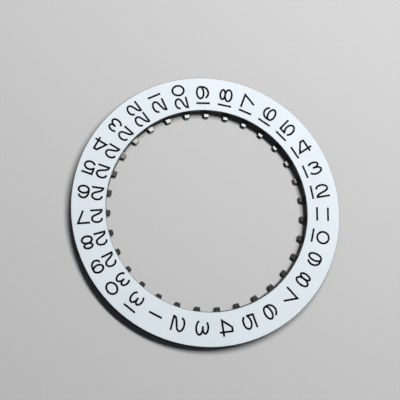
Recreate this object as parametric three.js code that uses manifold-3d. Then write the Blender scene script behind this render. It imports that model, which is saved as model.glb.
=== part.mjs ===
// Date wheel of a watch: a white ring printed with the dates 1 to 31, over a ring of 31 internal teeth.
// Millimetres, +Z up. The origin is at the centre of the underside, and +X passes through date 11.

import * as THREE from "three";
import { mergeVertices } from "three/addons/utils/BufferGeometryUtils.js";
import Module from "manifold-3d";

const wasm = await Module();
wasm.setup();

const degree = Math.PI / 180;
const fullTurn = 360 * degree;

// The whole wheel
const dateCount = 31;
const dateAtPlusX = 11;
const outerRadius = 12.23;
const faceWidth = 3.08;
const boreRadius = outerRadius - faceWidth;

// Layers, from the underside up
const ringThickness = 0.35;
const bondThickness = 0.02;
const discThickness = 0.62;
const lacquerThickness = 0.03;
const inkThickness = 0.015;
const discBottom = ringThickness + bondThickness;
const lacquerBottom = discBottom + discThickness;
const inkBottom = lacquerBottom + lacquerThickness;

// Edges of the layers
const ringRimStep = 0.05;
const ringBoreStep = 0.09;
const bondSetback = 0.06;
const discChamfer = 0.03;

// Teeth of the lower ring. Each one lags the date that it carries, seen from above.
const toothLength = 0.39;
const toothRootWidth = 0.57;
const toothTipWidth = 0.45;
const toothTipRounding = 0.07;
const toothRootRounding = 0.08;
const toothLag = 2.55 * degree;
const toothPitch = fullTurn / dateCount;
const rootRadius = boreRadius - ringBoreStep;
const rootHalfAngle = (toothRootWidth / 2 + toothRootRounding) / rootRadius;

// The digits of a date stand in a row that runs outwards across the face.
const rowInnerMargin = 0.28;
const rowOuterMargin = 0.48;
const rowLength = faceWidth - rowInnerMargin - rowOuterMargin;
const digitHeight = 1.25;
const strokeWidth = 0.18;

// Widths of the digits and of the gaps between two of them, as shares of the row's length
const singleWidthShare = 0.592;
const teenWidthShare = 0.552;
const pairWidthShare = 0.47;
const beforeOneWidthShare = 0.513;
const afterOneGapShare = 0.112;
const betweenOnesGapShare = 0.365;
const beforeOneGapShare = 0.149;
const pairGapShare = 0.06;

// How finely round outlines are drawn
const ringSegments = 124;
const rootSteps = 3;
const roundingSteps = 2;
const arcStep = 18 * degree;
const bendSteps = 7;

// Pen strokes of each digit. Across and up run from 0 to 1 over the box of the strokes' centre lines, and
// a four and a seven reach a little past it. A bar has sharp corners, an arc or a loop lies on an ellipse,
// and a bend is a Bezier curve.
const digitStrokeShares = {
  0: [{ loop: { centre: [0.5, 0.5], radii: [0.5, 0.5] } }],
  1: [{ bar: [[0.5, 0], [0.5, 1]], squareEnds: true }],
  2: [
    {
      arc: { centre: [0.515, 0.7], radii: [0.485, 0.3], from: 187, to: 0 },
      bend: [[1, 0.3], [0, 0.42], [0, 0]],
    },
    { bar: [[0, 0], [1, 0]], squareEnds: true },
  ],
  3: [
    { arc: { centre: [0.46, 0.775], radii: [0.43, 0.225], from: 160, to: -90 } },
    { bar: [[0.34, 0.55], [0.56, 0.55]] },
    { arc: { centre: [0.5, 0.275], radii: [0.5, 0.275], from: 90, to: -172 } },
  ],
  4: [
    { bar: [[0.83, 0], [0.83, 1]], squareEnds: true },
    { bar: [[0.83, 1], [0.52, 1], [-0.04, 0.225], [1.07, 0.225]], squareEnds: true },
  ],
  5: [
    { bar: [[1, 1], [0.06, 1], [0.03, 0.5]], squareEnds: true },
    { arc: { centre: [0.5, 0.335], radii: [0.5, 0.335], from: 155, to: -158 } },
  ],
  6: [
    {
      arc: { centre: [0.5, 0.5], radii: [0.5, 0.5], from: 28, to: 180 },
      bend: [[0, 0.45], [0, 0.4], [0, 0.36]],
    },
    { loop: { centre: [0.5, 0.3], radii: [0.5, 0.3] } },
  ],
  7: [{ bar: [[-0.14, 1], [1.01, 1], [0.44, -0.02]] }],
  8: [
    { loop: { centre: [0.5, 0.79], radii: [0.415, 0.21] } },
    { loop: { centre: [0.5, 0.29], radii: [0.5, 0.29] } },
  ],
};

const nickelPlate = new THREE.MeshStandardMaterial({ color: "#8f8d84", metalness: 1, roughness: 0.3 });
const darkPlate = new THREE.MeshStandardMaterial({ color: "#1b1c1e", metalness: 0.6, roughness: 0.4 });
const adhesive = new THREE.MeshStandardMaterial({ color: "#4a4a48", metalness: 0, roughness: 0.5 });
const whiteLacquer = new THREE.MeshStandardMaterial({ color: "#eef3f8", metalness: 0, roughness: 0.35 });
const blackInk = new THREE.MeshStandardMaterial({ color: "#0b0b0d", metalness: 0, roughness: 0.5 });

// A closed geometry as a solid that can be joined to others
function solidOf(geometry) {
  const bare = geometry.clone();
  bare.deleteAttribute("normal");
  bare.deleteAttribute("uv");
  const merged = mergeVertices(bare);
  const mesh = new wasm.Mesh({
    numProp: 3,
    vertProperties: new Float32Array(merged.attributes.position.array),
    triVerts: new Uint32Array(merged.index.array),
  });
  return new wasm.Manifold(mesh);
}

function geometryOf(solid) {
  const mesh = solid.getMesh();
  const geometry = new THREE.BufferGeometry();
  geometry.setAttribute("position", new THREE.BufferAttribute(mesh.vertProperties, mesh.numProp));
  geometry.setIndex(new THREE.BufferAttribute(mesh.triVerts, 1));
  return geometry;
}

function namedMesh(name, geometry, material) {
  const mesh = new THREE.Mesh(geometry, material);
  mesh.name = name;
  return mesh;
}

// A flat ring turned from a section, given as points of radius and height
function turnedRing(sectionPoints) {
  const section = sectionPoints.map(([radius, height]) => new THREE.Vector2(radius, height));
  section.push(section[0].clone());
  return new THREE.LatheGeometry(section, ringSegments).rotateX(fullTurn / 4);
}

function rectangularRing(innerRadius, rimRadius, thickness) {
  return turnedRing([[innerRadius, 0], [rimRadius, 0], [rimRadius, thickness], [innerRadius, thickness]]);
}

function pointAt(radius, angle) {
  return new THREE.Vector2(radius * Math.cos(angle), radius * Math.sin(angle));
}

// A rounded corner, from a distance before it to the same distance after it
function roundedCorner(before, corner, after, rounding) {
  const start = before.clone().sub(corner).setLength(rounding).add(corner);
  const end = after.clone().sub(corner).setLength(rounding).add(corner);
  return new THREE.QuadraticBezierCurve(start, corner, end).getPoints(roundingSteps);
}

// One side of a tooth that points inwards on the X axis, from the root circle to the tip
function toothSide(side) {
  const rootHalf = side * toothRootWidth / 2;
  const tipHalf = side * toothTipWidth / 2;
  const tipRadius = rootRadius - toothLength;
  const onRootCircle = pointAt(rootRadius, side * rootHalfAngle);
  const root = new THREE.Vector2(Math.sqrt(rootRadius ** 2 - rootHalf ** 2), rootHalf);
  const tip = new THREE.Vector2(tipRadius, tipHalf);
  const tipMiddle = new THREE.Vector2(tipRadius, 0);
  return [
    ...roundedCorner(onRootCircle, root, tip, toothRootRounding),
    ...roundedCorner(root, tip, tipMiddle, toothTipRounding),
  ];
}

// The bore's outline: teeth joined by stretches of the root circle
function toothedOutline() {
  const tooth = [...toothSide(-1), ...toothSide(1).reverse()];
  const centre = new THREE.Vector2();
  const outline = [];
  for (let index = 0; index < dateCount; index += 1) {
    const angle = index * toothPitch - toothLag;
    outline.push(...tooth.map((point) => point.clone().rotateAround(centre, angle)));
    for (let step = 1; step < rootSteps; step += 1) {
      const share = step / rootSteps;
      outline.push(pointAt(rootRadius, angle + rootHalfAngle + share * (toothPitch - 2 * rootHalfAngle)));
    }
  }
  return outline;
}

function toothedRing() {
  const rimRadius = outerRadius - ringRimStep;
  const rim = [];
  for (let index = 0; index < ringSegments; index += 1) {
    rim.push(pointAt(rimRadius, index * fullTurn / ringSegments));
  }
  const shape = new THREE.Shape(rim);
  shape.holes.push(new THREE.Path(toothedOutline()));
  const geometry = new THREE.ExtrudeGeometry(shape, { depth: ringThickness, bevelEnabled: false });
  return namedMesh("toothed_ring", geometry, nickelPlate);
}

function bondFilm() {
  const rimRadius = outerRadius - ringRimStep - bondSetback;
  const mesh = namedMesh(
    "bond_film",
    rectangularRing(boreRadius + bondSetback, rimRadius, bondThickness),
    adhesive,
  );
  mesh.position.z = ringThickness;
  return mesh;
}

function dateDisc() {
  const low = discChamfer;
  const high = discThickness - discChamfer;
  const section = [
    [boreRadius + discChamfer, 0],
    [outerRadius - discChamfer, 0],
    [outerRadius, low],
    [outerRadius, high],
    [outerRadius - discChamfer, discThickness],
    [boreRadius + discChamfer, discThickness],
    [boreRadius, high],
    [boreRadius, low],
  ];
  const mesh = namedMesh("date_disc", turnedRing(section), darkPlate);
  mesh.position.z = discBottom;
  return mesh;
}

function faceLacquer() {
  const mesh = namedMesh(
    "face_lacquer",
    rectangularRing(boreRadius + discChamfer, outerRadius - discChamfer, lacquerThickness),
    whiteLacquer,
  );
  mesh.position.z = lacquerBottom;
  return mesh;
}

// Points round an ellipse, from one angle in degrees to another
function ellipsePoints({ centre, radii, from = 0, to = 360 }) {
  const sweep = (to - from) * degree;
  const steps = Math.ceil(Math.abs(sweep) / arcStep);
  const points = [];
  for (let step = 0; step <= steps; step += 1) {
    const angle = from * degree + sweep * step / steps;
    points.push([centre[0] + radii[0] * Math.cos(angle), centre[1] + radii[1] * Math.sin(angle)]);
  }
  return points;
}

// The centre line of a stroke in millimetres, about the centre of a digit of the given width
function centreLine(strokeShares, width) {
  const place = ([across, up]) => new THREE.Vector2(
    (across - 0.5) * (width - strokeWidth),
    (up - 0.5) * (digitHeight - strokeWidth),
  );
  if (strokeShares.bar) return strokeShares.bar.map(place);
  if (strokeShares.loop) return ellipsePoints(strokeShares.loop).slice(1).map(place);
  const points = ellipsePoints(strokeShares.arc).map(place);
  if (strokeShares.bend) {
    const bend = new THREE.CubicBezierCurve(points.at(-1), ...strokeShares.bend.map(place));
    points.push(...bend.getPoints(bendSteps).slice(1));
  }
  return points;
}

// The outline of a pen stroke: its centre line moved half a stroke to either side, with mitred corners
function strokeShape(points, isLoop, squareEnds) {
  const count = points.length;
  const directions = points.map((point, index) => points[(index + 1) % count].clone().sub(point).normalize());
  const halfWidth = strokeWidth / 2;
  const endReach = squareEnds ? halfWidth : 0;
  const left = [];
  const right = [];
  points.forEach((point, index) => {
    const isStart = index === 0 && !isLoop;
    const isEnd = index === count - 1 && !isLoop;
    const arriving = isStart ? directions[0] : directions[(index + count - 1) % count];
    const leaving = isEnd ? arriving : directions[index];
    const along = arriving.clone().add(leaving).normalize();
    const across = new THREE.Vector2(-along.y, along.x).multiplyScalar(halfWidth / along.dot(arriving));
    const middle = point.clone();
    if (isStart) middle.addScaledVector(along, -endReach);
    if (isEnd) middle.addScaledVector(along, endReach);
    left.push(middle.clone().add(across));
    right.push(middle.clone().sub(across));
  });
  if (!isLoop) return new THREE.Shape([...right, ...left.reverse()]);
  const shape = new THREE.Shape(right);
  shape.holes.push(new THREE.Path(left));
  return shape;
}

// A digit of ink, standing upright with its centre at the origin. A nine is a six upside down.
function digitGeometry(digit, width) {
  const isNine = digit === 9;
  const strokes = digitStrokeShares[isNine ? 6 : digit];
  const solids = strokes.map((strokeShares) => {
    const isLoop = "loop" in strokeShares;
    const shape = strokeShape(centreLine(strokeShares, width), isLoop, strokeShares.squareEnds);
    return solidOf(new THREE.ExtrudeGeometry(shape, { depth: inkThickness, bevelEnabled: false }));
  });
  const geometry = geometryOf(solids.reduce((joined, solid) => joined.add(solid)));
  return isNine ? geometry.rotateZ(fullTurn / 2) : geometry;
}

function digitWidth(digit, widthShare) {
  return digit === 1 ? strokeWidth : widthShare * rowLength;
}

// The digits of a date, each with its width and its place along the row, and the names of their nodes
function rowOfDate(date) {
  const units = date % 10;
  const tens = (date - units) / 10;
  const name = `date_${String(date).padStart(2, "0")}`;
  if (tens === 0) return [{ name, digit: units, width: digitWidth(units, singleWidthShare), offset: 0 }];

  let widthShare = pairWidthShare;
  let gapShare = pairGapShare;
  if (units === 1) [widthShare, gapShare] = [beforeOneWidthShare, beforeOneGapShare];
  if (tens === 1) [widthShare, gapShare] = [teenWidthShare, afterOneGapShare];
  if (date === 11) gapShare = betweenOnesGapShare;

  const tensWidth = digitWidth(tens, widthShare);
  const unitsWidth = digitWidth(units, widthShare);
  const length = tensWidth + gapShare * rowLength + unitsWidth;
  return [
    { name: `${name}_tens`, digit: tens, width: tensWidth, offset: (tensWidth - length) / 2 },
    { name: `${name}_units`, digit: units, width: unitsWidth, offset: (length - unitsWidth) / 2 },
  ];
}

function printedDate(date) {
  const group = new THREE.Group();
  const rowCentre = boreRadius + rowInnerMargin + rowLength / 2;
  group.rotation.z = (date - dateAtPlusX) * fullTurn / dateCount;
  for (const { name, digit, width, offset } of rowOfDate(date)) {
    const mesh = namedMesh(name, digitGeometry(digit, width), blackInk);
    mesh.position.set(rowCentre + offset, 0, inkBottom);
    group.add(mesh);
  }
  return group;
}

const dateWheel = new THREE.Group();
dateWheel.name = "date_wheel";
dateWheel.add(toothedRing(), bondFilm(), dateDisc(), faceLacquer());
for (let date = 1; date <= dateCount; date += 1) {
  dateWheel.add(printedDate(date));
}

export default dateWheel;
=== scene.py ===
"""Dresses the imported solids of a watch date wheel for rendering.

The wheel is a white-lacquered date disc bonded to a stamped ring with 31 teeth on its inside. Every place
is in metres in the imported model's frame: +Z points out of the printed face, and +X passes through date 11.
Pieces are modelled in millimetres and shrunk to metres as the last step, because the mesh tools round off
sizes of a few thousandths of a millimetre when they are given in metres.
"""

import math

import bmesh
import bpy
from bpy.props import FloatProperty, FloatVectorProperty, PointerProperty
from mathutils import Matrix, Vector


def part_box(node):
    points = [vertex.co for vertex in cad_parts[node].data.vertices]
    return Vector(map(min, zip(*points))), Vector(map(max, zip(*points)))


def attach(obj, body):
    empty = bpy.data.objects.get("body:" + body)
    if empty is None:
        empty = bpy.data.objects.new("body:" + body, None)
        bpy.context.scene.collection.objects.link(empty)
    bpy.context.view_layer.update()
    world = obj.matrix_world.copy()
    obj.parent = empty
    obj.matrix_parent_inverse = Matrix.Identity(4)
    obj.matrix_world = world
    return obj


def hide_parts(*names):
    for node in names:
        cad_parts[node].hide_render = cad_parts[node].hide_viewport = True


bl_info = {
    "name": "Watch Date Wheel",
    "version": (1, 0, 0),
    "blender": (4, 5, 0),
    "location": "View3D > Sidebar > Date Wheel",
    "description": "Builds the finished pieces of a watch date wheel over its packed solids",
    "category": "Object",
}

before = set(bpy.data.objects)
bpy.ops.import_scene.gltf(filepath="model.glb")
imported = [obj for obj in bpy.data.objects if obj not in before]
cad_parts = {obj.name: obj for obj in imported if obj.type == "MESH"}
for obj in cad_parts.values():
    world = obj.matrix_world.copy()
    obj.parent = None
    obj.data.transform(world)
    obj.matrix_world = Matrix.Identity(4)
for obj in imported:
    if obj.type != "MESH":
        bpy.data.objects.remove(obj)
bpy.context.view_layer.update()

MM = 0.001
DATE_COUNT = 31
TOOTH_PITCH = math.tau / DATE_COUNT

# How finely the pieces are drawn
RIM_STEPS_PER_TOOTH = 12
GAP_STEPS = 4
CORNER_STEPS = 4
EDGE_STEPS = 3
INK_EDGE_STEPS = 2
TURN_STEPS = DATE_COUNT * RIM_STEPS_PER_TOOTH
FLOOR_STEPS = 128

# Angles between faces, in radians
SHARP_EDGE = math.radians(40)
FACET_LIMIT = math.radians(30)
SAME_PLANE = math.radians(1)

# Upright part of a normal, out of 1, from which a face counts as level
LEVEL_FACE = 0.999

# Corners that lie closer than this are one corner, and heights one height, in millimetres
MERGE_DISTANCE = 0.0002

# Rounding a digit's edges can leave corners stacked this close together, in millimetres
STACKED_DISTANCE = 0.00001

# How much of each facet beside it a rounded edge of a digit's curve takes, in per cent
FACET_SHARE = 42

# How far the toothed ring reaches inside the disc's bore, in millimetres
RING_BORE_STEP = 0.09

# Rounding of the lacquer where it stands on the disc, in millimetres
FOOT_ROUNDING = 0.002

# How far the floor lies under the wheel, in millimetres
FLOOR_GAP = 0.01

# Sizes of the patterns in the finishes, in millimetres
GRAIN_WIDTH = 0.03
GRAIN_LENGTH = 2.5
STREAK_WIDTH = 0.04
STREAK_LENGTH = 0.6
CUTTER_FEED = 0.02
CUTTER_MARK_LENGTH = 2
PEEL_SPACING = 0.25
DRIFT_SPACING = 3
FLOW_SPACING = 0.3
MOTTLE_SPACING = 0.06

# Radius in millimetres at which round grain has its stated length
GRAIN_RADIUS = 10.5

# Heights of the relief in the finishes, in millimetres
STAMPED_RELIEF = 0.0006
TURNED_RELIEF = 0.0008
PEEL_RELIEF = 0.002
MOTTLE_RELIEF = 0.001

# Upright part of a normal, out of 1, where the painted shade of the sheared edges ends and where only the
# bright flat shows
EDGE_END = 0.94
FLAT_START = 0.995

# Roughness of the sheared edges
SHEAR_ROUGHNESS = 0.45

# How much of the lacquer's thin colour shows where the coat drifts thinnest, out of 1
PATCH_SHARE = 0.15

# A noise texture's values lie mostly between these
NOISE_RANGE = {"From Min": 0.3, "From Max": 0.7}

# Sockets of the Mix node, by number because their names repeat: the factor, then the inputs and the result
# of a mix of numbers, and the inputs and the result of a mix of colours
MIX_FACTOR = 0
NUMBER_A = 2
NUMBER_B = 3
MIXED_NUMBER = 0
COLOUR_A = 6
COLOUR_B = 7
MIXED_COLOUR = 2

# Upright part of a direction, out of 1, where the backdrop ends and where only the ceiling shows
BACKDROP_END = 0.6
CEILING_START = 0.85

# The camera's sensor, in millimetres, and the nearest and farthest that the camera sees, in metres
SENSOR_WIDTH = 36
NEAREST_SEEN = 0.005
FARTHEST_SEEN = 10

# The level direction that points up in the picture, a trace to the left of +Y
PICTURE_UP = Vector((-0.0024, 1, 0))


def linear(hex_colour):
    """The linear colour, with full opacity, of an sRGB hex value."""
    channels = [int(hex_colour[start:start + 2], 16) / 255 for start in (1, 3, 5)]
    return (*(c / 12.92 if c <= 0.04045 else ((c + 0.055) / 1.055) ** 2.4 for c in channels), 1.0)


def packed_box(node):
    """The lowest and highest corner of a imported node, in millimetres."""
    low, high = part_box(node)
    return low / MM, high / MM


def packed_radii(node):
    """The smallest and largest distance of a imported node's corners from the axis, in millimetres."""
    distances = [corner.co.xy.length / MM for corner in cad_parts[node].data.vertices]
    return min(distances), max(distances)


# Meshes

def arc(shape, radius, start, end, steps):
    """Draws an arc round the axis, and returns its first and last corner."""
    first = shape.verts.new((radius * math.cos(start), radius * math.sin(start), 0))
    turned = bmesh.ops.spin(
        shape,
        geom=[first],
        cent=(0, 0, 0),
        axis=(0, 0, 1),
        angle=end - start,
        steps=steps,
    )
    return first, turned["geom_last"][0]


def round_corner(shape, corner, rounding):
    """Rounds one corner of a flat outline."""
    bmesh.ops.bevel(
        shape,
        geom=[corner],
        affect="VERTICES",
        offset=rounding,
        segments=CORNER_STEPS,
        profile=0.5,
        material=-1,
    )


def round_edges(shape, edges, rounding, steps, offset_type="OFFSET"):
    """Rounds edges of a solid."""
    bmesh.ops.bevel(
        shape,
        geom=edges,
        affect="EDGES",
        offset=rounding,
        offset_type=offset_type,
        segments=steps,
        profile=0.5,
        material=-1,
        clamp_overlap=True,
    )


def is_level(edge):
    """Whether an edge lies flat, and doesn't climb a wall."""
    first, last = edge.verts
    return abs(first.co.z - last.co.z) < MERGE_DISTANCE


def turned_ring(node, low_rounding, high_rounding):
    """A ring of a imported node's size, turned from a section whose lower and upper corners are rounded."""
    inner, outer = packed_radii(node)
    low, high = packed_box(node)
    corners = (
        (inner, low.z, low_rounding),
        (outer, low.z, low_rounding),
        (outer, high.z, high_rounding),
        (inner, high.z, high_rounding),
    )
    shape = bmesh.new()
    section = [shape.verts.new((radius, 0, height)) for radius, height, _ in corners]
    shape.faces.new(section)
    for corner, (_, _, rounding) in zip(section, corners):
        round_corner(shape, corner, rounding)
    bmesh.ops.delete(shape, geom=shape.faces[:], context="FACES_ONLY")
    bmesh.ops.spin(
        shape,
        geom=shape.verts[:] + shape.edges[:],
        cent=(0, 0, 0),
        axis=(0, 0, 1),
        angle=math.tau,
        steps=TURN_STEPS,
        use_merge=True,
    )
    return shape


def tooth_sector(ring):
    """One tooth and its share of the ring, drawn as a flat face that is centred on +X."""
    shape = bmesh.new()
    half_pitch = TOOTH_PITCH / 2
    bore_radius = ring.bore_radius / MM
    tip_radius = bore_radius - ring.tooth_length / MM
    tip_half = ring.tooth_tip_width / MM / 2
    root_angle = math.asin(ring.tooth_root_width / MM / 2 / bore_radius)

    rim_start, rim_end = arc(shape, ring.rim_radius / MM, -half_pitch, half_pitch, RIM_STEPS_PER_TOOTH)
    gap_start, root_before = arc(shape, bore_radius, -half_pitch, -root_angle, GAP_STEPS)
    root_after, gap_end = arc(shape, bore_radius, root_angle, half_pitch, GAP_STEPS)
    tip_before = shape.verts.new((tip_radius, -tip_half, 0))
    tip_after = shape.verts.new((tip_radius, tip_half, 0))
    for ends in (
        (rim_start, gap_start),
        (root_before, tip_before),
        (tip_before, tip_after),
        (tip_after, root_after),
        (gap_end, rim_end),
    ):
        shape.edges.new(ends)
    bmesh.ops.contextual_create(shape, geom=shape.edges[:])

    for corner in (root_before, root_after):
        round_corner(shape, corner, ring.tooth_root_rounding / MM)
    for corner in (tip_before, tip_after):
        round_corner(shape, corner, ring.tooth_tip_rounding / MM)
    return shape


def toothed_ring(ring):
    """The ring of teeth: one tooth's sector, repeated round the axis, raised and rounded at its edges."""
    shape = tooth_sector(ring)
    bmesh.ops.rotate(
        shape,
        verts=shape.verts[:],
        cent=(0, 0, 0),
        matrix=Matrix.Rotation(-ring.tooth_lag, 3, "Z"),
    )
    bmesh.ops.spin(
        shape,
        geom=shape.verts[:] + shape.edges[:] + shape.faces[:],
        cent=(0, 0, 0),
        axis=(0, 0, 1),
        angle=math.tau - TOOTH_PITCH,
        steps=DATE_COUNT - 1,
        use_duplicate=True,
    )
    bmesh.ops.remove_doubles(shape, verts=shape.verts[:], dist=MERGE_DISTANCE)
    raised = bmesh.ops.extrude_face_region(shape, geom=shape.faces[:])
    raised_corners = [part for part in raised["geom"] if isinstance(part, bmesh.types.BMVert)]
    bmesh.ops.translate(shape, verts=raised_corners, vec=(0, 0, ring.thickness / MM))
    bmesh.ops.recalc_face_normals(shape, faces=shape.faces[:])
    outlines = [edge for edge in shape.edges if edge.calc_face_angle(0) > SHARP_EDGE and is_level(edge)]
    middle = ring.thickness / MM / 2
    lower = [edge for edge in outlines if edge.verts[0].co.z < middle]
    upper = [edge for edge in outlines if edge.verts[0].co.z > middle]
    round_edges(shape, lower, ring.low_edge_rounding / MM, EDGE_STEPS)
    round_edges(shape, upper, ring.top_edge_rounding / MM, EDGE_STEPS)
    return shape


def printed_digit(node, ink):
    """A merged copy of a packed digit, with its facets rounded into curves and its film's edge softened."""
    shape = bmesh.new()
    shape.from_mesh(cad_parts[node].data)
    bmesh.ops.scale(shape, vec=(1 / MM,) * 3, verts=shape.verts[:])
    bmesh.ops.remove_doubles(shape, verts=shape.verts[:], dist=MERGE_DISTANCE)
    bmesh.ops.dissolve_limit(
        shape,
        angle_limit=SAME_PLANE,
        verts=shape.verts[:],
        edges=shape.edges[:],
    )
    upright = [edge for edge in shape.edges if not is_level(edge)]
    facets = [edge for edge in upright if edge.calc_face_angle(0) < FACET_LIMIT]
    corners = [edge for edge in upright if edge.calc_face_angle(0) >= FACET_LIMIT]
    round_edges(shape, corners, ink.corner_rounding / MM, EDGE_STEPS)
    facets = [edge for edge in facets if edge.is_valid]
    round_edges(shape, facets, FACET_SHARE, EDGE_STEPS, "PERCENT")
    bmesh.ops.remove_doubles(shape, verts=shape.verts[:], dist=STACKED_DISTANCE)
    top = max(corner.co.z for corner in shape.verts)
    outline = [
        edge for edge in shape.edges
        if is_level(edge) and edge.verts[0].co.z > top - MERGE_DISTANCE
        and edge.calc_face_angle(0) > SHARP_EDGE
    ]
    round_edges(shape, outline, ink.edge_rounding / MM, INK_EDGE_STEPS)
    bmesh.ops.remove_doubles(shape, verts=shape.verts[:], dist=STACKED_DISTANCE)
    return shape


def new_object(name, data):
    """Puts an object in the scene, in place of an earlier one of that name."""
    earlier = bpy.data.objects.get(name)
    if earlier:
        bpy.data.objects.remove(earlier)
    made = bpy.data.objects.new(name, data)
    bpy.context.scene.collection.objects.link(made)
    return made


def show_piece(name, shape, material, node):
    """Turns a finished shape, in millimetres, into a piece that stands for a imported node."""
    bmesh.ops.recalc_face_normals(shape, faces=shape.faces[:])
    for face in shape.faces:
        face.smooth = abs(face.normal.z) < LEVEL_FACE
    for edge in shape.edges:
        edge.smooth = edge.calc_face_angle(0) < SHARP_EDGE
    bmesh.ops.scale(shape, vec=(MM,) * 3, verts=shape.verts[:])
    mesh = bpy.data.meshes.new(name)
    shape.to_mesh(mesh)
    shape.free()
    mesh.materials.append(material)
    piece = new_object(name, mesh)
    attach(piece, "root")
    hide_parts(node)


# Materials

def new_material(name):
    """A material with a Principled shader, and that shader's tree and node."""
    material = bpy.data.materials.get(name) or bpy.data.materials.new(name)
    material.use_nodes = True
    tree = material.node_tree
    tree.nodes.clear()
    shader = tree.nodes.new("ShaderNodeBsdfPrincipled")
    add_node(tree, "ShaderNodeOutputMaterial", {"Surface": shader.outputs["BSDF"]})
    return material, tree, shader


def set_inputs(tree, node, inputs):
    """Gives a node's inputs a value, or a link from another node's output."""
    for key, value in inputs.items():
        if isinstance(value, bpy.types.NodeSocket):
            tree.links.new(value, node.inputs[key])
        else:
            node.inputs[key].default_value = value


def add_node(tree, kind, inputs=None, **settings):
    """Adds a node with its settings and links."""
    node = tree.nodes.new(kind)
    for name, value in settings.items():
        setattr(node, name, value)
    set_inputs(tree, node, inputs or {})
    return node


def pattern_scale(size):
    """The texture scale that draws a pattern of a size in millimetres."""
    return 1 / (size * MM)


def level_position(tree, position):
    """A texture position without its height, and its distance from the wheel's axis."""
    level = add_node(tree, "ShaderNodeVectorMath", {0: position, 1: (1, 1, 0)}, operation="MULTIPLY")
    radius = add_node(tree, "ShaderNodeVectorMath", {0: level.outputs["Vector"]}, operation="LENGTH")
    return level.outputs["Vector"], radius.outputs["Value"]


def round_grain(tree, position, line_width, line_length):
    """A texture position whose detail runs round the wheel, in lines of a size in millimetres."""
    level, radius = level_position(tree, position)
    outward = add_node(tree, "ShaderNodeVectorMath", {0: level}, operation="NORMALIZE")
    along = add_node(
        tree,
        "ShaderNodeVectorMath",
        {0: outward.outputs["Vector"], "Scale": GRAIN_RADIUS / line_length},
        operation="SCALE",
    )
    across = add_node(
        tree,
        "ShaderNodeVectorMath",
        {0: (0, 0, pattern_scale(line_width)), "Scale": radius},
        operation="SCALE",
    )
    sum_of_both = add_node(
        tree,
        "ShaderNodeVectorMath",
        {0: along.outputs["Vector"], 1: across.outputs["Vector"]},
        operation="ADD",
    )
    return sum_of_both.outputs["Vector"]


def looking_rays(tree):
    """1 for rays that look at a thing, and 0 for rays that gather light.

    A look by way of a mirror or through glass counts too.
    """
    ray = add_node(tree, "ShaderNodeLightPath")
    straight_or_mirrored = add_node(
        tree,
        "ShaderNodeMath",
        {0: ray.outputs["Is Camera Ray"], 1: ray.outputs["Is Glossy Ray"]},
        operation="MAXIMUM",
    )
    looking = add_node(
        tree,
        "ShaderNodeMath",
        {0: straight_or_mirrored.outputs[0], 1: ray.outputs["Is Transmission Ray"]},
        operation="MAXIMUM",
    )
    return looking.outputs[0]


def studio_paper(stage):
    """Seamless studio paper: matt and even, so that only the wheel's own shadow marks it.

    Far from the wheel it turns into the plain backdrop, so that it shows no horizon.
    """
    material, tree, shader = new_material("matt_studio_paper")
    set_inputs(
        tree,
        shader,
        {"Base Color": stage.floor_colour, "Roughness": 0.95, "Specular IOR Level": 0.2},
    )
    coordinates = add_node(tree, "ShaderNodeTexCoord")
    distance = add_node(
        tree,
        "ShaderNodeVectorMath",
        {0: coordinates.outputs["Object"]},
        operation="LENGTH",
    )
    fade = add_node(
        tree,
        "ShaderNodeMapRange",
        {"Value": distance.outputs["Value"], "From Min": stage.fade_start, "From Max": stage.fade_end},
        interpolation_type="SMOOTHSTEP",
    )
    amount = add_node(
        tree,
        "ShaderNodeMath",
        {0: fade.outputs["Result"], 1: looking_rays(tree)},
        operation="MULTIPLY",
    )
    backdrop = add_node(tree, "ShaderNodeEmission", {"Color": stage.backdrop_colour})
    blend = add_node(
        tree,
        "ShaderNodeMixShader",
        {0: amount.outputs[0], 1: shader.outputs["BSDF"], 2: backdrop.outputs["Emission"]},
    )
    set_inputs(tree, tree.get_output_node("ALL"), {"Surface": blend.outputs[0]})
    return material


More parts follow.
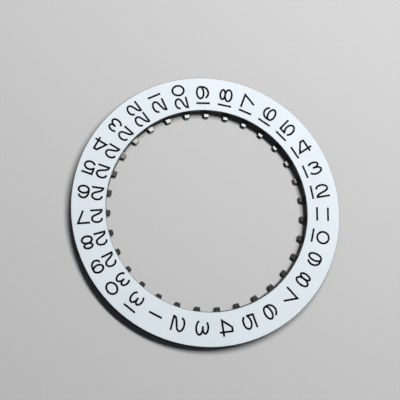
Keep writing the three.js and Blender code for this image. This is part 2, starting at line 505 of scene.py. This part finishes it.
def nickel(ring):
    """Brass sheet, stamped, ground on a turning table, tumbled and nickel-plated.

    Its flats are bright with a faint round grain. Its sheared edges are dull, and their colour is painted
    near black as painted shade, for the shade that the ring's walls lie in.
    """
    material, tree, shader = new_material("nickel_plated_stamped_brass")
    coordinates = add_node(tree, "ShaderNodeTexCoord")
    position = coordinates.outputs["Object"]
    facing = add_node(tree, "ShaderNodeSeparateXYZ", {"Vector": coordinates.outputs["Normal"]})
    upright = add_node(tree, "ShaderNodeMath", {0: facing.outputs["Z"]}, operation="ABSOLUTE")
    flatness = add_node(
        tree,
        "ShaderNodeMapRange",
        {"Value": upright.outputs["Value"], "From Min": EDGE_END, "From Max": FLAT_START},
        interpolation_type="SMOOTHSTEP",
    )
    # Real grinding lines are a few thousandths of a millimetre apart; these are drawn coarser, to show.
    grain = add_node(
        tree,
        "ShaderNodeTexNoise",
        {
            "Vector": round_grain(tree, position, GRAIN_WIDTH, GRAIN_LENGTH),
            "Scale": 1.0,
            "Detail": 3.0,
            "Roughness": 0.6,
        },
    )
    # The punch draws the metal down the edge in fine upright streaks.
    across = pattern_scale(STREAK_WIDTH)
    stretched = add_node(
        tree,
        "ShaderNodeMapping",
        {"Vector": position, "Scale": (across, across, pattern_scale(STREAK_LENGTH))},
    )
    streaks = add_node(
        tree,
        "ShaderNodeTexNoise",
        {"Vector": stretched.outputs["Vector"], "Scale": 1.0, "Detail": 2.0},
    )
    # Painted shade: the sheared edges are coloured near black, for the shade that the ring's walls lie in,
    # with lighter streaks where the punch drew the metal.
    painted_edge_shade = add_node(
        tree,
        "ShaderNodeMix",
        {MIX_FACTOR: streaks.outputs["Fac"], COLOUR_A: ring.edge_shade_colour, COLOUR_B: ring.edge_streak_shade_colour},
        data_type="RGBA",
    )
    flat_tone = add_node(
        tree,
        "ShaderNodeMix",
        {MIX_FACTOR: grain.outputs["Fac"], COLOUR_A: ring.flat_colour, COLOUR_B: ring.grain_colour},
        data_type="RGBA",
    )
    tone = add_node(
        tree,
        "ShaderNodeMix",
        {
            MIX_FACTOR: flatness.outputs["Result"],
            COLOUR_A: painted_edge_shade.outputs[MIXED_COLOUR],
            COLOUR_B: flat_tone.outputs[MIXED_COLOUR],
        },
        data_type="RGBA",
    )
    flat_roughness = add_node(
        tree,
        "ShaderNodeMapRange",
        {"Value": grain.outputs["Fac"], **NOISE_RANGE, "To Min": 0.09, "To Max": 0.17},
    )
    roughness = add_node(
        tree,
        "ShaderNodeMix",
        {
            MIX_FACTOR: flatness.outputs["Result"],
            NUMBER_A: SHEAR_ROUGHNESS,
            NUMBER_B: flat_roughness.outputs["Result"],
        },
    )
    relief = add_node(
        tree,
        "ShaderNodeMix",
        {
            MIX_FACTOR: flatness.outputs["Result"],
            NUMBER_A: streaks.outputs["Fac"],
            NUMBER_B: grain.outputs["Fac"],
        },
    )
    bump = add_node(
        tree,
        "ShaderNodeBump",
        {"Height": relief.outputs[MIXED_NUMBER], "Strength": 1.0, "Distance": STAMPED_RELIEF * MM},
    )
    set_inputs(
        tree,
        shader,
        {
            "Base Color": tone.outputs[MIXED_COLOUR],
            "Metallic": 1.0,
            "Roughness": roughness.outputs[MIXED_NUMBER],
            "Normal": bump.outputs["Normal"],
        },
    )
    return material


def dark_plating_and_shade(disc):
    """Black-nickel-plated turned brass, darkened further as painted shade, with the cutter's rings in its
    wall.
    """
    material, tree, shader = new_material("turned_brass_dark_plating_and_shade")
    coordinates = add_node(tree, "ShaderNodeTexCoord")
    # The cutter leaves a ring at every turn, and its marks run on round the wall.
    round_wall = pattern_scale(CUTTER_MARK_LENGTH)
    rings = add_node(
        tree,
        "ShaderNodeMapping",
        {
            "Vector": coordinates.outputs["Object"],
            "Scale": (round_wall, round_wall, pattern_scale(CUTTER_FEED)),
        },
    )
    lines = add_node(
        tree,
        "ShaderNodeTexNoise",
        {"Vector": rings.outputs["Vector"], "Scale": 1.0, "Detail": 2.0},
    )
    # Painted shade: both colours are darker than black nickel plating, for the shade that the disc's walls
    # lie in.
    tone = add_node(
        tree,
        "ShaderNodeMix",
        {MIX_FACTOR: lines.outputs["Fac"], COLOUR_A: disc.wall_plating_and_shade_colour, COLOUR_B: disc.ridge_plating_and_shade_colour},
        data_type="RGBA",
    )
    roughness = add_node(
        tree,
        "ShaderNodeMapRange",
        {"Value": lines.outputs["Fac"], **NOISE_RANGE, "To Min": 0.28, "To Max": 0.42},
    )
    bump = add_node(
        tree,
        "ShaderNodeBump",
        {"Height": lines.outputs["Fac"], "Strength": 1.0, "Distance": TURNED_RELIEF * MM},
    )
    set_inputs(
        tree,
        shader,
        {
            "Base Color": tone.outputs[MIXED_COLOUR],
            "Metallic": 1.0,
            "Roughness": roughness.outputs["Result"],
            "Normal": bump.outputs["Normal"],
        },
    )
    return material


def lacquer(face):
    """Sprayed and baked white lacquer: satin, with a trace of orange peel.

    It draws back from the disc's two edges as it dries, so it is thinner and greyer there.
    """
    material, tree, shader = new_material("sprayed_white_lacquer")
    coordinates = add_node(tree, "ShaderNodeTexCoord")
    position = coordinates.outputs["Object"]
    # Sprayed droplets flow out into low dimples about a quarter of a millimetre apart.
    peel = add_node(
        tree,
        "ShaderNodeTexNoise",
        {"Vector": position, "Scale": pattern_scale(PEEL_SPACING), "Detail": 2.0, "Roughness": 0.4},
    )
    # The coat's thickness drifts slowly from place to place.
    drift = add_node(
        tree,
        "ShaderNodeTexNoise",
        {"Vector": position, "Scale": pattern_scale(DRIFT_SPACING), "Detail": 2.0},
    )
    patches = add_node(
        tree,
        "ShaderNodeMapRange",
        {"Value": drift.outputs["Fac"], **NOISE_RANGE, "To Max": PATCH_SHARE},
    )
    inner, outer = packed_radii("face_lacquer")
    _, radius = level_position(tree, position)
    from_middle = add_node(
        tree,
        "ShaderNodeMath",
        {0: radius, 1: (inner + outer) / 2 * MM},
        operation="SUBTRACT",
    )
    reach = add_node(tree, "ShaderNodeMath", {0: from_middle.outputs[0]}, operation="ABSOLUTE")
    half_width = (outer - inner) / 2 * MM
    edges = add_node(
        tree,
        "ShaderNodeMapRange",
        {"Value": reach.outputs[0], "From Min": half_width - face.edge_fade, "From Max": half_width},
        interpolation_type="SMOOTHSTEP",
    )
    thinness = add_node(
        tree,
        "ShaderNodeMath",
        {0: patches.outputs["Result"], 1: edges.outputs["Result"]},
        operation="MAXIMUM",
    )
    tone = add_node(
        tree,
        "ShaderNodeMix",
        {MIX_FACTOR: thinness.outputs[0], COLOUR_A: face.coat_colour, COLOUR_B: face.thin_colour},
        data_type="RGBA",
    )
    roughness = add_node(
        tree,
        "ShaderNodeMapRange",
        {"Value": peel.outputs["Fac"], **NOISE_RANGE, "To Min": 0.34, "To Max": 0.42},
    )
    bump = add_node(
        tree,
        "ShaderNodeBump",
        {"Height": peel.outputs["Fac"], "Strength": 1.0, "Distance": PEEL_RELIEF * MM},
    )
    set_inputs(
        tree,
        shader,
        {
            "Base Color": tone.outputs[MIXED_COLOUR],
            "Roughness": roughness.outputs["Result"],
            "Normal": bump.outputs["Normal"],
        },
    )
    return material


def adhesive_film(bond):
    """Cured epoxy film: grey, faintly glossy and a little uneven where it was pressed out."""
    material, tree, shader = new_material("cured_epoxy_film")
    coordinates = add_node(tree, "ShaderNodeTexCoord")
    flow = add_node(
        tree,
        "ShaderNodeTexNoise",
        {"Vector": coordinates.outputs["Object"], "Scale": pattern_scale(FLOW_SPACING), "Detail": 3.0},
    )
    tone = add_node(
        tree,
        "ShaderNodeMix",
        {MIX_FACTOR: flow.outputs["Fac"], COLOUR_A: bond.cured_colour, COLOUR_B: bond.deep_colour},
        data_type="RGBA",
    )
    set_inputs(tree, shader, {"Base Color": tone.outputs[MIXED_COLOUR], "Roughness": 0.4})
    return material


def printing_ink(ink):
    """Pad-printed ink: black and satin, with the faint mottle that the silicone pad leaves."""
    material, tree, shader = new_material("pad_printed_ink")
    coordinates = add_node(tree, "ShaderNodeTexCoord")
    mottle = add_node(
        tree,
        "ShaderNodeTexNoise",
        {"Vector": coordinates.outputs["Object"], "Scale": pattern_scale(MOTTLE_SPACING), "Detail": 3.0},
    )
    tone = add_node(
        tree,
        "ShaderNodeMix",
        {MIX_FACTOR: mottle.outputs["Fac"], COLOUR_A: ink.film_colour, COLOUR_B: ink.thin_colour},
        data_type="RGBA",
    )
    roughness = add_node(
        tree,
        "ShaderNodeMapRange",
        {"Value": mottle.outputs["Fac"], **NOISE_RANGE, "To Min": 0.5, "To Max": 0.62},
    )
    bump = add_node(
        tree,
        "ShaderNodeBump",
        {"Height": mottle.outputs["Fac"], "Strength": 1.0, "Distance": MOTTLE_RELIEF * MM},
    )
    set_inputs(
        tree,
        shader,
        {
            "Base Color": tone.outputs[MIXED_COLOUR],
            "Roughness": roughness.outputs["Result"],
            "Specular IOR Level": 0.2,
            "Normal": bump.outputs["Normal"],
        },
    )
    return material


# Stage

def lay_floor(stage):
    """A round sheet of paper just under the wheel."""
    shape = bmesh.new()
    bmesh.ops.create_circle(shape, cap_ends=True, segments=FLOOR_STEPS, radius=stage.floor_radius)
    bmesh.ops.translate(shape, verts=shape.verts[:], vec=(0, 0, -FLOOR_GAP * MM))
    mesh = bpy.data.meshes.new("floor")
    shape.to_mesh(mesh)
    shape.free()
    mesh.materials.append(studio_paper(stage))
    new_object("floor", mesh)


def set_surroundings(stage):
    """What the camera and the bright metal see round the wheel, and an even light from all round."""
    world = bpy.data.worlds.get("studio") or bpy.data.worlds.new("studio")
    bpy.context.scene.world = world
    world.use_nodes = True
    tree = world.node_tree
    tree.nodes.clear()
    direction = add_node(tree, "ShaderNodeTexCoord")
    split = add_node(tree, "ShaderNodeSeparateXYZ", {"Vector": direction.outputs["Generated"]})
    height = add_node(
        tree,
        "ShaderNodeMapRange",
        {"Value": split.outputs["Z"], "From Min": BACKDROP_END, "From Max": CEILING_START},
        interpolation_type="SMOOTHSTEP",
    )
    around = add_node(
        tree,
        "ShaderNodeMix",
        {
            MIX_FACTOR: height.outputs["Result"],
            COLOUR_A: stage.backdrop_colour,
            COLOUR_B: stage.ceiling_colour,
        },
        data_type="RGBA",
    )
    seen = add_node(tree, "ShaderNodeBackground", {"Color": around.outputs[MIXED_COLOUR]})
    fill = add_node(
        tree,
        "ShaderNodeBackground",
        {"Color": stage.fill_colour, "Strength": stage.fill_strength},
    )
    blend = add_node(
        tree,
        "ShaderNodeMixShader",
        {0: looking_rays(tree), 1: fill.outputs[0], 2: seen.outputs[0]},
    )
    add_node(tree, "ShaderNodeOutputWorld", {"Surface": blend.outputs[0]})


def level_lamp(name, middle, width, depth, turn, tint, watts):
    """A level panel of light that faces straight down and stays out of the camera's view."""
    light = bpy.data.lights.new(name, "AREA")
    light.shape = "RECTANGLE"
    light.size = width
    light.size_y = depth
    light.color = tint[:3]
    light.energy = watts
    lamp = new_object(name, light)
    lamp.location = middle
    lamp.rotation_euler.z = turn
    lamp.visible_camera = False
    return lamp


def hang_lamps(stage):
    """A long softbox that lights every surface, and a dim card that bright metal and satin coats mirror."""
    softbox = level_lamp(
        "softbox",
        stage.softbox_place,
        stage.softbox_width,
        stage.softbox_depth,
        stage.softbox_turn,
        stage.softbox_colour,
        stage.softbox_power,
    )
    softbox.visible_glossy = False
    card = level_lamp(
        "card",
        stage.card_place,
        stage.card_width,
        stage.card_depth,
        0,
        stage.card_colour,
        stage.card_power,
    )
    card.visible_diffuse = False


def place_camera(stage):
    """A camera over the lower left of the wheel, as in the photograph."""
    lens = bpy.data.cameras.new("camera")
    lens.lens = stage.camera_lens
    lens.sensor_width = SENSOR_WIDTH
    lens.clip_start = NEAREST_SEEN
    lens.clip_end = FARTHEST_SEEN
    camera = new_object("camera", lens)
    back = (stage.camera_place - stage.camera_target).normalized()
    right = PICTURE_UP.cross(back).normalized()
    up = back.cross(right)
    turned = Matrix((right, up, back)).transposed().to_4x4()
    camera.matrix_world = Matrix.Translation(stage.camera_place) @ turned
    bpy.context.scene.camera = camera


# Settings

def length(name, description, millimetres):
    """A length that a user can change, given in millimetres."""
    return FloatProperty(
        name=name,
        description=description,
        default=millimetres * MM,
        min=0,
        precision=6,
        subtype="DISTANCE",
        unit="LENGTH",
    )


def place(name, description, x, y, z):
    """A place that a user can change, given in millimetres."""
    return FloatVectorProperty(
        name=name,
        description=description,
        default=(x * MM, y * MM, z * MM),
        precision=6,
        subtype="TRANSLATION",
        unit="LENGTH",
    )


def angle(name, description, degrees):
    """An angle that a user can change, given in degrees."""
    return FloatProperty(
        name=name,
        description=description,
        default=math.radians(degrees),
        subtype="ANGLE",
        unit="ROTATION",
    )


def power(name, description, watts):
    """A lamp's power that a user can change."""
    return FloatProperty(name=name, description=description, default=watts, min=0, unit="POWER")


def colour(name, description, hex_colour):
    """A colour that a user can change, given as an sRGB hex value."""
    return FloatVectorProperty(
        name=name,
        description=description,
        default=linear(hex_colour),
        size=4,
        min=0,
        max=1,
        subtype="COLOR",
    )


class ToothedRingSettings(bpy.types.PropertyGroup):
    """Sizes and colours of the stamped ring of teeth."""

    rim_radius: length("Rim radius", "From the axis to the ring's rim", packed_radii("toothed_ring")[1])
    thickness: length("Thickness", "Of the stamped sheet", packed_box("toothed_ring")[1].z)
    bore_radius: length(
        "Bore radius",
        "From the axis to the bottoms of the tooth spaces",
        packed_radii("date_disc")[0] - RING_BORE_STEP,
    )
    tooth_length: length("Tooth length", "How far a tooth reaches inwards", 0.39)
    tooth_root_width: length("Tooth root width", "Width of a tooth where it leaves the ring", 0.57)
    tooth_tip_width: length("Tooth tip width", "Width of a tooth at its tip", 0.45)
    tooth_root_rounding: length("Tooth root rounding", "Of the inner corners between the teeth", 0.08)
    tooth_tip_rounding: length("Tooth tip rounding", "Of the two corners at a tooth's tip", 0.07)
    top_edge_rounding: length("Upper edge rounding", "Where the punch drew the metal down", 0.055)
    low_edge_rounding: length("Lower edge rounding", "Left by tumbling", 0.02)
    tooth_lag: angle("Tooth lag", "Clockwise turn of each tooth from the middle of its date", 2.55)
    flat_colour: colour("Flat colour", "Nickel plating on the flat faces", "#d5d6d1")
    grain_colour: colour("Grain colour", "Hollows of the grain on the flat faces", "#c0c0ba")
    # Painted shade: the sheared edges' colours are near black, for the shade that the ring's walls lie in.
    edge_shade_colour: colour("Edge colour", "Sheared edges", "#2b2b2c")
    edge_streak_shade_colour: colour("Shear colour", "Brighter streaks on the sheared edges", "#474748")


class BondFilmSettings(bpy.types.PropertyGroup):
    """Colours of the adhesive film."""

    cured_colour: colour("Cured colour", "Cured adhesive", "#4a4a48")
    deep_colour: colour("Deep colour", "Where the film is thicker", "#3a3a39")


class DateDiscSettings(bpy.types.PropertyGroup):
    """Size and colours of the disc that carries the white face."""

    edge_rounding: length("Edge rounding", "Of the disc's four edges", 0.035)
    # Painted shade: the disc's two colours are darker than black nickel plating, for the shade on its walls.
    wall_plating_and_shade_colour: colour("Wall colour", "Black nickel plating", "#101113")
    ridge_plating_and_shade_colour: colour("Worn colour", "Plating on the ridges of the turned lines", "#222326")


class FaceLacquerSettings(bpy.types.PropertyGroup):
    """Sizes and colours of the white lacquer."""

    edge_rounding: length("Edge rounding", "Where the coat ends", 0.02)
    edge_fade: length("Edge fade", "How far in from its two edges the coat is thinner", 0.07)
    coat_colour: colour("Coat colour", "White lacquer", "#eef7fc")
    thin_colour: colour("Thin colour", "Where the coat is thinner", "#cdd6dc")


class PrintSettings(bpy.types.PropertyGroup):
    """Sizes and colours of the printed digits."""

    corner_rounding: length("Corner rounding", "Of a stroke's corners", 0.012)
    edge_rounding: length("Edge rounding", "Where the ink film ends", 0.006)
    film_colour: colour("Film colour", "Black printing ink", "#040405")
    thin_colour: colour("Thin colour", "Where the ink is thinner", "#0a0b0c")


class StageSettings(bpy.types.PropertyGroup):
    """Floor, light and camera."""

    floor_radius: length("Floor radius", "Of the round sheet of paper under the wheel", 1000)
    floor_colour: colour("Floor colour", "Studio paper under the wheel", "#d1d1d0")
    fade_start: length("Fade start", "From the axis to where the backdrop starts to show in the paper", 30)
    fade_end: length("Fade end", "From the axis to where only the backdrop shows", 90)
    backdrop_colour: colour("Backdrop colour", "What stands round the wheel", "#c6c7c7")
    ceiling_colour: colour("Ceiling colour", "What hangs over the wheel, behind the lamps", "#4a4b4f")
    fill_colour: colour("Fill colour", "Light from all round", "#ccd9ea")
    fill_strength: FloatProperty(
        name="Fill strength",
        description="Strength of the light from all round",
        default=0.05,
        min=0,
    )
    softbox_place: place("Softbox place", "Middle of the softbox, which faces down", 37.3, 60, 162)
    softbox_width: length("Softbox width", "Its long side", 130)
    softbox_depth: length("Softbox depth", "Its short side", 32)
    softbox_turn: angle("Softbox turn", "From the X axis to the long side, seen from above", 140)
    softbox_colour: colour("Softbox colour", "Light of the softbox", "#ffffff")
    softbox_power: power("Softbox power", "Power of the softbox", 0.349)
    card_place: place("Card place", "Middle of the lit card that the teeth mirror", 39, 75.5, 118)
    card_width: length("Card width", "Along X", 62)
    card_depth: length("Card depth", "Along Y", 85)
    card_colour: colour("Card colour", "Light of the card", "#ffffff")
    card_power: power("Card power", "Power of the card", 0.0248)
    camera_place: place("Camera place", "Where the camera stands", -19.84, -19.79, 98.14)
    camera_target: place("Camera target", "What the camera looks at", -0.76, 0.82, 1.02)
    camera_lens: FloatProperty(
        name="Camera lens",
        description="Focal length of the camera, in millimetres",
        default=102.1,
        min=1,
        unit="CAMERA",
    )


class DateWheelSettings(bpy.types.PropertyGroup):
    """All the settings of the wheel and its stage."""

    ring: PointerProperty(type=ToothedRingSettings)
    bond: PointerProperty(type=BondFilmSettings)
    disc: PointerProperty(type=DateDiscSettings)
    face: PointerProperty(type=FaceLacquerSettings)
    ink: PointerProperty(type=PrintSettings)
    stage: PointerProperty(type=StageSettings)


# Operators

class DATEWHEEL_OT_toothed_ring(bpy.types.Operator):
    """Build the stamped ring of teeth"""

    bl_idname = "date_wheel.toothed_ring"
    bl_label = "Toothed Ring"
    bl_options = {"REGISTER", "UNDO"}

    def execute(self, context):
        ring = context.scene.date_wheel.ring
        show_piece("stamped_toothed_ring", toothed_ring(ring), nickel(ring), "toothed_ring")
        return {"FINISHED"}


class DATEWHEEL_OT_bond_film(bpy.types.Operator):
    """Give the adhesive film its finish"""

    bl_idname = "date_wheel.bond_film"
    bl_label = "Bond Film"
    bl_options = {"REGISTER", "UNDO"}

    def execute(self, context):
        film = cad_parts["bond_film"]
        film.data.materials.clear()
        film.data.materials.append(adhesive_film(context.scene.date_wheel.bond))
        return {"FINISHED"}


class DATEWHEEL_OT_date_disc(bpy.types.Operator):
    """Build the disc that carries the white face"""

    bl_idname = "date_wheel.date_disc"
    bl_label = "Date Disc"
    bl_options = {"REGISTER", "UNDO"}

    def execute(self, context):
        disc = context.scene.date_wheel.disc
        rounding = disc.edge_rounding / MM
        shape = turned_ring("date_disc", rounding, rounding)
        show_piece("turned_date_disc", shape, dark_plating_and_shade(disc), "date_disc")
        return {"FINISHED"}


class DATEWHEEL_OT_face_lacquer(bpy.types.Operator):
    """Build the coat of white lacquer"""

    bl_idname = "date_wheel.face_lacquer"
    bl_label = "Face Lacquer"
    bl_options = {"REGISTER", "UNDO"}

    def execute(self, context):
        face = context.scene.date_wheel.face
        shape = turned_ring("face_lacquer", FOOT_ROUNDING, face.edge_rounding / MM)
        show_piece("white_lacquer_coat", shape, lacquer(face), "face_lacquer")
        return {"FINISHED"}


class DATEWHEEL_OT_printed_dates(bpy.types.Operator):
    """Build the printed digits of the dates 1 to 31"""

    bl_idname = "date_wheel.printed_dates"
    bl_label = "Printed Dates"
    bl_options = {"REGISTER", "UNDO"}

    def execute(self, context):
        ink = context.scene.date_wheel.ink
        material = printing_ink(ink)
        for node in sorted(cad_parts):
            if node.startswith("date_") and node != "date_disc":
                show_piece(f"printed_{node}", printed_digit(node, ink), material, node)
        return {"FINISHED"}


class DATEWHEEL_OT_stage(bpy.types.Operator):
    """Set up the floor, the light and the camera"""

    bl_idname = "date_wheel.stage"
    bl_label = "Stage"
    bl_options = {"REGISTER", "UNDO"}

    def execute(self, context):
        stage = context.scene.date_wheel.stage
        context.scene.view_settings.view_transform = "Standard"
        lay_floor(stage)
        set_surroundings(stage)
        hang_lamps(stage)
        place_camera(stage)
        return {"FINISHED"}


class DATEWHEEL_PT_panel(bpy.types.Panel):
    """Lists the pieces of the date wheel with their settings"""

    bl_idname = "DATEWHEEL_PT_panel"
    bl_label = "Date Wheel"
    bl_space_type = "VIEW_3D"
    bl_region_type = "UI"
    bl_category = "Date Wheel"

    def draw(self, context):
        settings = context.scene.date_wheel
        for operator, group in PIECES:
            box = self.layout.box()
            box.operator(operator.bl_idname)
            values = getattr(settings, group)
            for name in values.__annotations__:
                box.prop(values, name)


PIECES = (
    (DATEWHEEL_OT_toothed_ring, "ring"),
    (DATEWHEEL_OT_bond_film, "bond"),
    (DATEWHEEL_OT_date_disc, "disc"),
    (DATEWHEEL_OT_face_lacquer, "face"),
    (DATEWHEEL_OT_printed_dates, "ink"),
    (DATEWHEEL_OT_stage, "stage"),
)

CLASSES = (
    ToothedRingSettings,
    BondFilmSettings,
    DateDiscSettings,
    FaceLacquerSettings,
    PrintSettings,
    StageSettings,
    DateWheelSettings,
    *(operator for operator, _ in PIECES),
    DATEWHEEL_PT_panel,
)


def register():
    """Adds the classes and the scene's settings to Blender."""
    for cls in CLASSES:
        bpy.utils.register_class(cls)
    bpy.types.Scene.date_wheel = PointerProperty(type=DateWheelSettings)


def unregister():
    """Takes the classes and the scene's settings out of Blender."""
    del bpy.types.Scene.date_wheel
    for cls in reversed(CLASSES):
        bpy.utils.unregister_class(cls)


def main():
    """Registers the add-on, and builds every piece and the stage in order."""
    register()
    bpy.ops.date_wheel.toothed_ring()
    bpy.ops.date_wheel.bond_film()
    bpy.ops.date_wheel.date_disc()
    bpy.ops.date_wheel.face_lacquer()
    bpy.ops.date_wheel.printed_dates()
    bpy.ops.date_wheel.stage()


if __name__ == "__main__":
    main()
